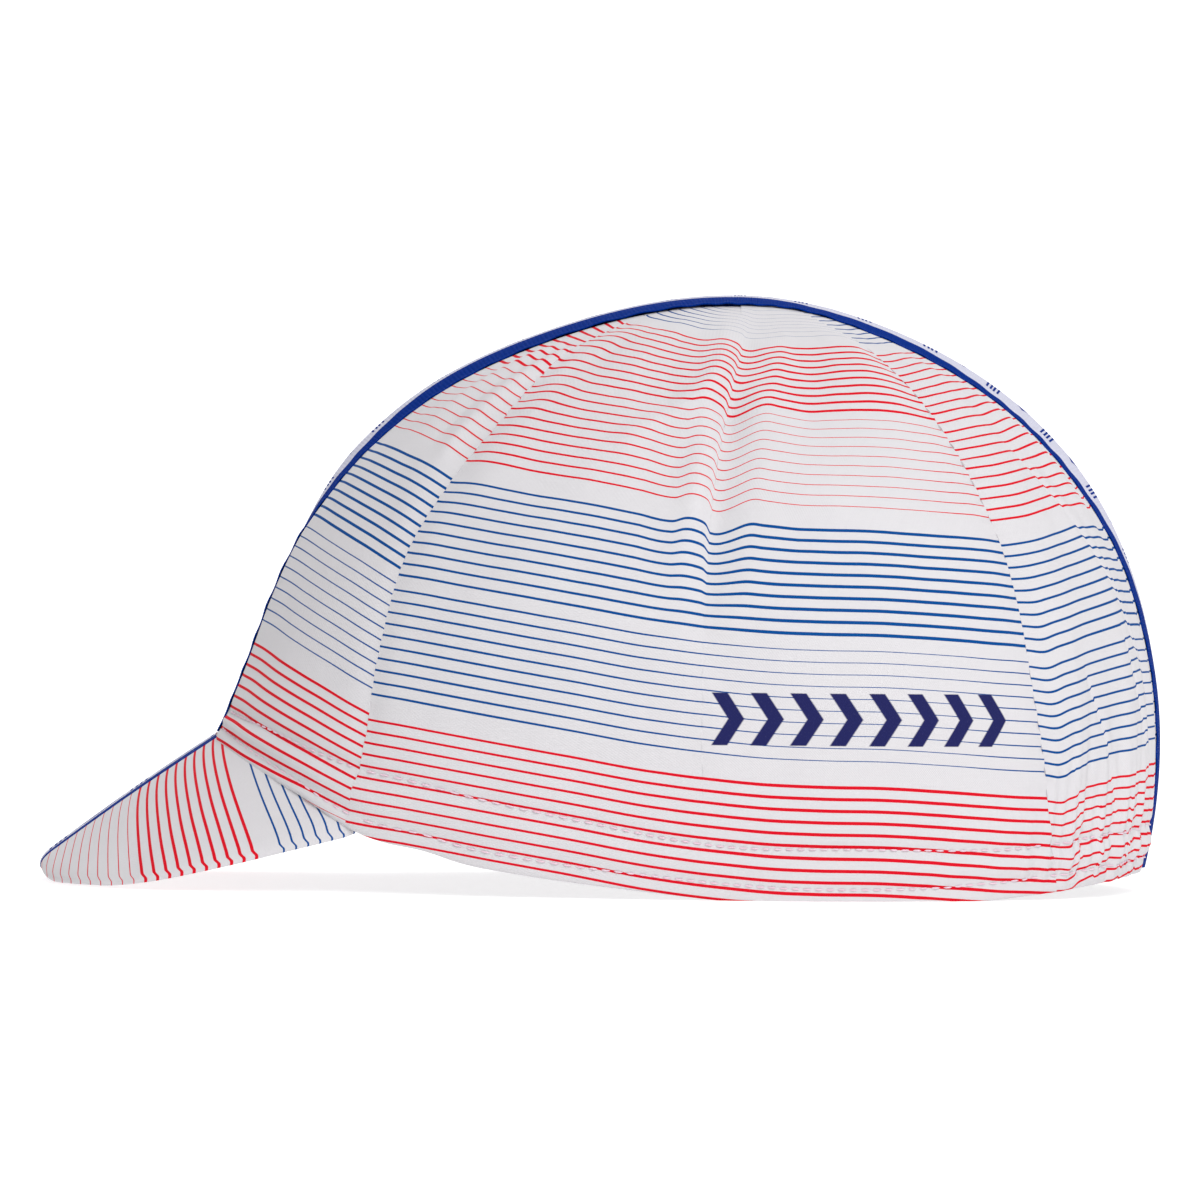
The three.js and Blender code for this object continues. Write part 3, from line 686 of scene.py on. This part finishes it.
def lineCoordinates(panel, turn, lean):
    aside = fromFront(turn)
    level = follow(printLevels[panel], "turn", aside, "lean")
    if panel in straighter:
        middle, curve = straighter[panel]
        level = middle + (level - middle) * follow(curve, "lean", lean, "share")
    contrast = follow(printLevels[panel], "turn", aside, "contrast")
    away = aheadOf(aside, dartLine, lean)
    held = follow(dartPull, "lean", lean, "share")
    # the dart takes up cloth, so the lines sag at it
    sag = held * follow(dartSag, "away", away, "sag")
    if panel == "side":
        seam = np.abs(aheadOf(aside, frontSeam, lean))
        shoulder = bell(seam - seamSag["shoulderAt"], seamSag["shoulderReach"])
        sag = sag - seamSag["top"] * np.exp(-seam / seamSag["topReach"]) * (1 - smooth(0.24, 0.36, lean))
        sag = sag - seamSag["shoulder"] * shoulder * smooth(0.2, 0.26, lean) * (1 - smooth(0.36, 0.45, lean))
    if panel == "rear":
        seam = np.abs(aheadOf(aside, backSeam, lean))
        low = bell(seam - seamSag["backAt"], seamSag["backReach"]) * smooth(0.6, 0.75, lean)
        sag = sag + seamSag["back"] * low - tuckOf(aside, lean)[0]
    drop = level - lean + sag / printScale
    if panel == "front":
        drop = np.where(drop < 0, drop / stripes["frontPitch"], drop)
    row, width, hue = np.full(drop.shape, -20.5), np.zeros(drop.shape), np.zeros(drop.shape)
    first = 0
    for group in lineGroups:
        at = np.clip((drop - group["start"]) / group["pitch"], -0.5, group["lines"] - 0.5)
        here = drop > group["start"] - group["pitch"] * 0.75
        bold = group["bold"] * contrast
        size = np.where(bold > 0, mix(stripes["even"], stripes["thick"], np.clip(bold, 0, 1)),
                        mix(stripes["even"], stripes["thin"], np.clip(-bold, 0, 1.25)))
        row, width = np.where(here, first + at, row), np.where(here, size, width)
        hue = np.where(here, group["hue"], hue)
        first += group["lines"]
    if panel == "front":
        width = np.where(row < stripes["frontPale"], stripes["thin"], width)
    return row, width, hue


def panelPiece(name, panel, start, end, columns, ranks, spacing, mirrored):
    def turnAt(share, lean):
        first, last = follow(start, "lean", lean, "turn"), follow(end, "lean", lean, "turn")
        place = crownSurface(first, lean)
        trim = np.degrees(crown["seamGap"] / 2 / np.hypot(place[..., 0], place[..., 1]))
        return spacing(share, lean, first + trim, last - trim)

    def placeOf(u, v):
        bottom = hemLean(turnAt(u, np.full(u.shape, 0.95)))
        lean = mix(crown["topOpening"], bottom, v)
        return turnAt(u, lean), lean

    def corner(u, v, depth):
        turn, lean = placeOf(u, v)
        return clothPoint(turn, lean, -depth * crown["wall"])

    def attributes(u, v, depth):
        turn, lean = placeOf(u, v)
        row, width, hue = lineCoordinates(panel, turn, lean)
        place = crownSurface(turn, lean)
        girth = np.radians(turn) * np.maximum(np.hypot(place[..., 0], place[..., 1]), 20)
        markX = np.full(turn.shape, farAway)
        if panel == "side":
            markX = apart(turn, motif["turn"], np.full(turn.shape, motif["lean"]))
        markY = (motif["lean"] - lean) * crown["height"] * np.pi / 2
        return {"lineRow": row, "lineWidth": width, "lineHue": hue, "inside": (depth > 0.6) * 1.0,
                "clothX": girth, "clothY": lean * crown["meridian"] * 1.2, "markX": markX, "markY": markY}

    return wallPiece(name, columns, ranks, corner, mirrored=mirrored, attributes=attributes, material=cloth)


def evenly(share, lean, start, end):
    return mix(start, end, share)


def towardsDart(share, lean, start, end):
    # columns crowd to the dart, and the middle one follows it
    middle = follow(dartLine, "lean", lean, "turn")
    away = np.abs(2 * share - 1) ** 1.3
    return np.where(share < 0.5, mix(middle, start, away), mix(middle, end, away))


ribbon = {
    "width": 28, "wall": 0.3, "border": 8.3,  # the border starts this far from the middle
    "repeat": 17, "lozenge": 5, "stroke": 2.2, "barsFrom": 6.4, "barPitch": 1.1, "barLength": 6.8,
    "ribPitch": 0.9, "pucker": 0.12, "puckerLength": 6.5, "hemLine": 0.12,
}
# How far the ribbon stands off the crown, along it from the front (negative) to the back,
# and how far its print has slipped to the side
ribbonHeight = rows("lean middle edge slip",
    (-0.9, 0.6, 0.5, 0), (-0.8, 0.5, 0.45, 0), (-0.7, 0.3, 0.45, 0), (-0.6, 0.5, 0.4, 0), (-0.55, 0.9, 0.35, 1.5),
    (-0.49, 1.2, 0.3, 2.4), (-0.43, 1.25, 0.3, 1.4), (-0.36, 1.3, 0.35, 0.3), (-0.3, 1.2, 0.45, 0),
    (-0.2, 1.0, 0.6, 0), (0, 0.9, 0.7, 0), (0.06, 0.85, 0.5, 0.8),
    (0.11, 0.85, 0.3, 1.7), (0.16, 0.9, 0.2, 1.3), (0.25, 1.0, 0.3, 1.6), (0.36, 0.9, 0.3, 3.1), (0.45, 1.1, 0.3, 3.4),
    (0.52, 1.3, 0.3, 3.3), (0.58, 1.5, 0.35, 2.4), (0.66, 1.3, 0.4, 1.0), (0.75, 0.9, 0.4, 0), (1, 0.6, 0.4, 0))
cloth = stripedCloth()
print("cloth ready")

panels = (("front", frontLine, frontSeam, 100, 220, evenly), ("side", frontSeam, backSeam, 240, 240, towardsDart),
          ("rear", backSeam, backLine, 150, 220, evenly))
for side, mirrored in (("left", False), ("right", True)):
    for panel, start, end, columns, ranks, spacing in panels:
        piece = panelPiece(panel + "_cloth_" + side, panel, start, end, columns, ranks, spacing, mirrored)
        settle(piece, "striped_cloth", panel + "_panel_" + side)
print("panels made")


# The ribbon over the crown
def ribbonPoint(lean, aside, lift):
    # above the crown's middle line: lean runs from the front (negative) to the back
    across = aside / crown["meridian"]
    for _ in range(4):
        held = smooth(0.2, 0.5, np.abs(lean))
        ratio = np.minimum(np.abs(across / np.where(np.abs(lean) < 1e-6, 1e-6, lean)), 0.9)
        along = lean * np.sqrt(1 - held * ratio ** 2)
        turn = np.degrees(np.arctan2(-across, -along))
        reach = np.hypot(along, across)
        place = crownSurface(turn, reach)[..., 1]
        safe = np.where(np.abs(place) > 1e-6, place, 1)
        across = np.where(np.abs(place) > 1e-6, across * aside / safe, across)
    return crownPoint(turn, reach, lift)


def crownRibbon():
    start, end = -hemLean(np.array(0.0)) + 0.006, hemLean(np.array(180.0))

    def spread(u, v):
        lean = mix(start, end, u)
        return lean, mix(-ribbon["width"] / 2, ribbon["width"] / 2, 1 - v)

    def corner(u, v, depth):
        lean, aside = spread(u, v)
        along = lean * crown["meridian"]
        side = np.abs(aside) / (ribbon["width"] / 2)
        pucker = np.sin(2 * np.pi * along / ribbon["puckerLength"] + 1.5 * np.sin(along / 11) + np.sign(aside))
        pucker = ribbon["pucker"] * (pucker * smooth(0.55, 1, side))
        middle, edge = (follow(ribbonHeight, "lean", lean, part) for part in ("middle", "edge"))
        edge = edge - follow(gutter, "lean", lean, "depth")
        lift = mix(middle, edge, smooth(0.45, 1, side)) - depth * ribbon["wall"]
        lift = lift + puffLift(-lean, np.abs(aside)) + pucker - ribbon["hemLine"] * bell(side - 0.9, 0.05)
        return ribbonPoint(lean, aside, lift)

    def attributes(u, v, depth):
        lean, aside = spread(u, v)
        slipped = aside + follow(ribbonHeight, "lean", lean, "slip")
        return {"clothX": slipped, "clothY": lean * crown["meridian"] * crown["slack"]}

    return wallPiece("crown_tape", 560, 36, corner, curl=2, attributes=attributes, material=tape)


tape = ribbonCloth()
settle(crownRibbon(), "ribbon", "crown_ribbon")
print("ribbon made")

# The turned hem and the elastic casing
band = {"height": 14, "wall": 1, "gap": 0.6, "drop": 2.5, "casingTurn": 138, "casingGap": 0.4,
        "ruffle": 0.45, "ruffles": 34}


def bandPiece(name, columns, ranks, start, end, ruffle, material):
    def spread(u, v):
        turn = mix(start, end, u)
        hem = hemRise(turn)
        drop = band["drop"] * (1 - smooth(peak["rootTurn"], peak["rootTurn"] + 4, fromFront(turn)))
        return turn, mix(hem + band["height"] / crown["height"], hem - drop / crown["height"], v)

    def corner(u, v, depth):
        turn, rise = spread(u, v)
        wave = ruffle * np.sin(u * 2 * np.pi * band["ruffles"] + 2 * np.sin(u * 40))
        wave = wave * np.sin(np.pi * np.clip(v, 0, 1))
        lift = -crown["wall"] - band["gap"] - depth * band["wall"] + wave * depth
        return crownPoint(turn, leanOfRise(np.clip(rise, -1, 1)), lift)

    def attributes(u, v, depth):
        turn, rise = spread(u, v)
        return {"clothX": np.radians(turn) * 90, "clothY": rise * crown["height"]}

    return wallPiece(name, columns, ranks, corner, curl=2, attributes=attributes, material=material)


hemCloth = plainCloth("hem_cloth", 0.8, 0.1)
elasticCloth = plainCloth("elastic_cloth", 1.4, 0.25)
settle(bandPiece("inner_band", 320, 16, -band["casingTurn"], band["casingTurn"], 0, hemCloth), "hem_cloth", "hem_band")
casingStart, casingEnd = band["casingTurn"] + band["casingGap"], 360 - band["casingTurn"] - band["casingGap"]
settle(bandPiece("casing", 240, 20, casingStart, casingEnd, band["ruffle"], elasticCloth), "elastic", "elastic_casing")
print("band made")

# The peak
peakEdge = rows("join ahead aside up",
    (0, 1, 0, 0.085), (0.13, 0.978, 0.167, 0.062), (0.24, 0.936, 0.333, 0.026), (0.34, 0.872, 0.483, 0.002),
    (0.46, 0.767, 0.617, 0), (0.56, 0.633, 0.717, 0), (0.63, 0.508, 0.783, 0.004), (0.74, 0.258, 0.883, 0.048),
    (0.84, -0.1, 0.95, 0.145), (0.93, -0.43, 0.98, 0.245), (0.98, -0.75, 0.985, 0.34), (1, -0.84, 0.975, 0.38))
for index, row in enumerate(peakEdge):
    row["index"] = index


def peakPoint(along, out, lift):
    # along runs from the left root (-1) to the right root (1), out from the root (0) to the edge (1)
    station = np.abs(along) * (len(peakEdge) - 1)
    join, ahead, aside, up = (follow(peakEdge, "index", station, part) for part in ("join", "ahead", "aside", "up"))
    turn = -np.sign(along) * peak["rootTurn"] * join
    tucked = smooth(0.55, 0.9, join)
    root = crownPoint(turn, hemLean(turn), np.full(turn.shape, -peak["sink"]))
    root[..., 2] += mix(peak["lap"], peak["sideLap"], tucked)
    edge = np.stack([frontHem[0] - peak["reach"] * ahead, np.sign(along) * peak["breadth"] * aside / 2,
                     frontHem[2] * up + peak["wall"]], -1)
    point = mix(root, edge, out[..., None])
    point[..., 2] += peak["rise"] * np.sin(np.pi * np.clip(out, 0, 1)) + lift  # it bows up
    return point


def peakSkin(along, v, lift):
    # the peak's outer face: past rollFrom it turns round the edge, and past 1 it runs back underneath
    length = np.linalg.norm(peakPoint(along, np.ones(v.shape), 0) - peakPoint(along, np.zeros(v.shape), 0), axis=-1)
    fromEdge = 1 - peak["rollFrom"]
    bend = np.clip((v - peak["rollFrom"]) / fromEdge, 0, 2) * np.pi / 2
    radius = peak["wall"] / 2
    wide = np.where(bend < np.pi / 2, np.minimum(peak["roll"], length * 0.4), np.minimum(radius, length * 0.4)) / length
    above = np.minimum(v / peak["rollFrom"], 1) * (1 - wide) + wide * np.sin(bend)
    below = 1 - wide * (1 - np.sin(bend)) - np.maximum(v - 1 - fromEdge, 0)
    out = np.where(bend < np.pi / 2, above, below) + lift * np.sin(bend) / length
    return peakPoint(along, out, -radius * (1 - np.cos(bend)) + lift * np.cos(bend)), bend


peakPrint = {
    "firstX": -100.5, "pitch": 1.98,  # where the strong red lines start on the middle line, and their pitch
    "strongLines": 10, "gap": 1.2,  # the blue lines follow after a gap
    "fan": 0.28, "fanFrom": 33.3, "bow": 3.0, "curl": -0.6,
    "pale": 0.09, "strong": 0.27, "fine": 0.17,  # widths, as shares of the pitch
}


def peakLines(point, bend):
    aside = np.clip(np.abs(point[..., 1]) / (peak["breadth"] / 2), 0, 1.1)
    away = aside ** peakPrint["bow"]
    middle = (point[..., 0] + shift[0] - peakPrint["fanFrom"] * away) / (1 + peakPrint["fan"] * away)
    at = (middle + peakPrint["curl"] * smooth(0.7, 1.5, bend) - peakPrint["firstX"]) / peakPrint["pitch"]
    lines = peakPrint["strongLines"]
    row = np.where(at < lines - 0.5, at, np.maximum(at - peakPrint["gap"], lines - 0.5))
    width = np.where(at < -0.5, peakPrint["pale"], np.where(at < lines, peakPrint["strong"], peakPrint["fine"]))
    return row, width, (at > lines) * 1.0


def peakPiece():
    def skin(u, v, depth):
        under = np.arccos(1 - 2 * depth) / np.pi  # how far round the lower half of the edge
        fromEdge = 1 - peak["rollFrom"]
        around = np.where(depth > 0, 1 + fromEdge * under, v)
        inside = depth > 0.999
        around = np.where(inside, 1 + fromEdge + (1 - v) * (1 - fromEdge / 2), around)
        return peakSkin(1 - 2 * u, around, 0)

    def corner(u, v, depth):
        return skin(u, v, depth)[0]

    def attributes(u, v, depth):
        point, bend = skin(u, v, depth)
        row, width, hue = peakLines(point, bend)
        return {"lineRow": row, "lineWidth": width, "lineHue": hue, "inside": depth * 0, "clothX": point[..., 1],
                "clothY": point[..., 0], "markX": np.full(u.shape, farAway), "markY": u * 0}

    return wallPiece("peak_cloth", 240, 80, corner, curl=5, attributes=attributes, material=cloth)


def peakTape():
    half, start, last = ribbon["width"] / 2, 0.02, 1.12  # from the root to just under the edge

    def spread(u, v):
        out = mix(start, last, np.minimum(v, 1))
        wanted = mix(half, -half, u) * mix(1.0, 0.5, out)
        along = wanted / (peak["breadth"] / 2)
        for _ in range(6):
            place = peakPoint(along, np.minimum(out, 1), 0)[..., 1]
            safe = np.where(np.abs(place) > 1e-6, place, 1)
            along = np.where(np.abs(place) > 1e-6, along * wanted / safe, along)
        return along, out, mix(half, -half, u)

    def corner(u, v, depth):
        along, out, _ = spread(u, v)
        return peakSkin(along, out, peak["tapeLift"] - depth * ribbon["wall"])[0]

    def attributes(u, v, depth):
        _, out, wanted = spread(u, v)
        return {"clothX": wanted, "clothY": out * peak["reach"]}

    return wallPiece("peak_tape", 40, 80, corner, curl=2, attributes=attributes, material=tape)


settle(peakPiece(), "peak_cloth", "peak")
settle(peakTape(), "ribbon", "peak_ribbon")
print("peak made")

# Stitches
thread = {"length": 1.9, "pitch": 2.7, "radius": 0.19, "rise": 0.14, "hump": 0.14, "sides": 6, "rings": 5}


sideAngles = np.linspace(0, 2 * np.pi, thread["sides"], endpoint=False)


def stitchRow(place, count):
    # place(share) gives points and normals along a line; each stitch is a short bent capsule
    ring, a = (grid.ravel() for grid in np.meshgrid(np.linspace(0, 1, thread["rings"]), sideAngles, indexing="ij"))
    points = []
    for k in range(count):
        at = (k + ring * thread["length"] / thread["pitch"]) / count
        centre, normal = place(at)
        ahead, _ = place(at + 1e-4)
        tangent = ahead - centre
        tangent /= np.linalg.norm(tangent, axis=1, keepdims=True)
        side = np.cross(tangent, normal)
        size = thread["radius"] * np.sqrt(np.maximum(1 - (2 * ring - 1) ** 4, 0.02))
        hump = np.sin(np.pi * ring) * thread["hump"] + thread["rise"]
        points.append(centre + normal * (hump + size * np.sin(a))[:, None] + side * (size * np.cos(a))[:, None])
    return points


def stitchPiece(name, runs, material):
    # each stitch has a cell of the UV map, with its tube over its two ends
    points = [capsule for run in runs for capsule in run]
    sides, rings, count = thread["sides"], thread["rings"], len(points)
    cells = math.ceil(math.sqrt(count))
    i, j = (grid.ravel() for grid in np.meshgrid(np.arange(sides), np.arange(rings - 1)))
    corners = ((0, 0), (1, 0), (1, 1), (0, 1))
    quad = np.stack([(j + b) * sides + (i + a) % sides for a, b in corners], -1)
    quadUv = np.stack([np.stack([i + a, j + b], -1) for a, b in corners], 1) / [sides, rings - 1] * 0.8 + 0.1
    end = np.array([list(range(sides))[::-1], list(range((rings - 1) * sides, rings * sides))])
    circle = np.stack([np.cos(sideAngles), np.sin(sideAngles)], -1)
    endUv = np.stack([circle * 0.03 + [0.3, 0.04], circle * 0.03 + [0.7, 0.04]])
    groups = [(np.concatenate([faces + k * sides * rings for k in range(count)]),
               np.concatenate([(uv + [k % cells, k // cells]) / cells for k in range(count)]))
              for faces, uv in ((quad, quadUv), (end, endUv))]
    return meshOf(name, np.concatenate(points), groups, None, material)


def hemRow(start, end, riseOf, side):
    def place(share):
        turn = mix(start, end, share)
        lean = leanOfRise(riseOf(turn))
        point = clothPoint(turn, lean, np.zeros(turn.shape))
        normal = crownNormal(turn, lean)
        return point * [1, side, 1], normal * [1, side, 1]

    samples = place(np.linspace(0, 1, 400))[0]
    length = np.linalg.norm(np.diff(samples, axis=0), axis=1).sum()
    return stitchRow(place, int(length / thread["pitch"]))


def upperRow(turn):
    return follow(stitchLine, "turn", turn, "rise")


def lowerRow(turn):
    return hemRise(turn) + sewing["lowerRow"] / crown["height"]


# The rows stop at the ribbon and at the seams
runs = [hemRow(start, end, riseOf, side) for side in (1, -1) for riseOf in (upperRow, lowerRow)
        for start, end in ((8.5, 36.2), (37.6, 138.2), (140, 171))]
settle(stitchPiece("hem_stitches", runs, threadMaterial()), "hem_cloth")
print("stitches made", sum(len(run) for run in runs))

# The stage
studio = {
    "middle": (-0.6, 62.6), "distance": 1500, "photoWidth": 264, "sensor": 36, "roll": -0.6,
    "floor": (0.5, 0.5, 0.5, 1), "floorGlow": 0.7,  # a lit table, which keeps the cap's shadow pale
    "world": 0.23, "worldRight": 0.175, "worldUp": 0.5,  # the sky's strength, and its change to +X and upwards
    "key": 11.9, "keyPlace": (0.33, -1.1, 0.95), "keySize": 1.0,
    "backdrop": 14.0, "backdropPlace": (0, 0.9, 1.4), "backdropSize": 1.5,
    "floorFront": -12.0, "floorHalf": 4.0, "curveFrom": 1.2, "curveRadius": 0.8, "sweepTop": 3.5,
}


def sweep():
    # a floor that curves up behind the cap
    start, radius, half = studio["curveFrom"], studio["curveRadius"], studio["floorHalf"]
    profile = [(studio["floorFront"], 0.0), (start, 0.0)]
    profile += [(start + radius * math.sin(a), radius - radius * math.cos(a))
                for a in np.linspace(0, math.pi / 2, 13)[1:]]
    profile += [(start + radius, studio["sweepTop"])]
    points = [(x, y, z) for y, z in profile for x in (-half, half)]
    faces = [(2 * k, 2 * k + 1, 2 * k + 3, 2 * k + 2) for k in range(len(profile) - 1)]
    mesh = bpy.data.meshes.new("floor")
    mesh.from_pydata(points, [], faces)
    mesh.shade_smooth()
    floor = bpy.data.objects.new("floor", mesh)
    bpy.context.scene.collection.objects.link(floor)
    s = Shader("studio_floor", Roughness=0.9, Base_Color=studio["floor"], Emission_Color=(1, 1, 1, 1),
               Emission_Strength=studio["floorGlow"])
    mesh.materials.append(s.material)


def areaLight(name, place, target, size, power):
    light = bpy.data.lights.new(name, "AREA")
    light.shape, light.size, light.energy = "DISK", size, power
    lamp = bpy.data.objects.new(name, light)
    lamp.location = place
    lamp.rotation_euler = (Vector(target) - Vector(place)).to_track_quat("-Z", "Y").to_euler()
    bpy.context.scene.collection.objects.link(lamp)


def camera():
    data = bpy.data.cameras.new("camera")
    data.sensor_width = studio["sensor"]
    data.lens = studio["sensor"] * studio["distance"] / studio["photoWidth"]
    eye = bpy.data.objects.new("camera", data)
    x, z = studio["middle"]
    eye.location = (x * mm, -studio["distance"] * mm, z * mm)
    eye.rotation_euler = (math.pi / 2, math.radians(studio["roll"]), 0)
    data.clip_start, data.clip_end = 0.05, 20
    bpy.context.scene.collection.objects.link(eye)
    bpy.context.scene.camera = eye


def skyLight():
    # a plain white sky, a little stronger to the right and above
    world = bpy.data.worlds.new("studio")
    world.use_nodes = True
    nodes = NodeTree(world.node_tree)
    background = world.node_tree.nodes["Background"]
    background.inputs["Color"].default_value = (1, 1, 1, 1)
    direction = nodes.add("ShaderNodeTexCoord", output="Generated")
    slope = (studio["worldRight"], 0, studio["worldUp"])
    change = nodes.add("ShaderNodeVectorMath", {"operation": "DOT_PRODUCT"}, (direction, slope), "Value")
    strength = change + studio["world"]
    world.node_tree.links.new(strength.socket, background.inputs["Strength"])
    bpy.context.scene.world = world


sweep()
camera()
areaLight("key", studio["keyPlace"], (0, 0, 0.05), studio["keySize"], studio["key"])
areaLight("backdrop", studio["backdropPlace"], (0, 2.0, 0.3), studio["backdropSize"], studio["backdrop"])
skyLight()
bpy.context.scene.view_settings.view_transform = "Standard"
print("stage made")
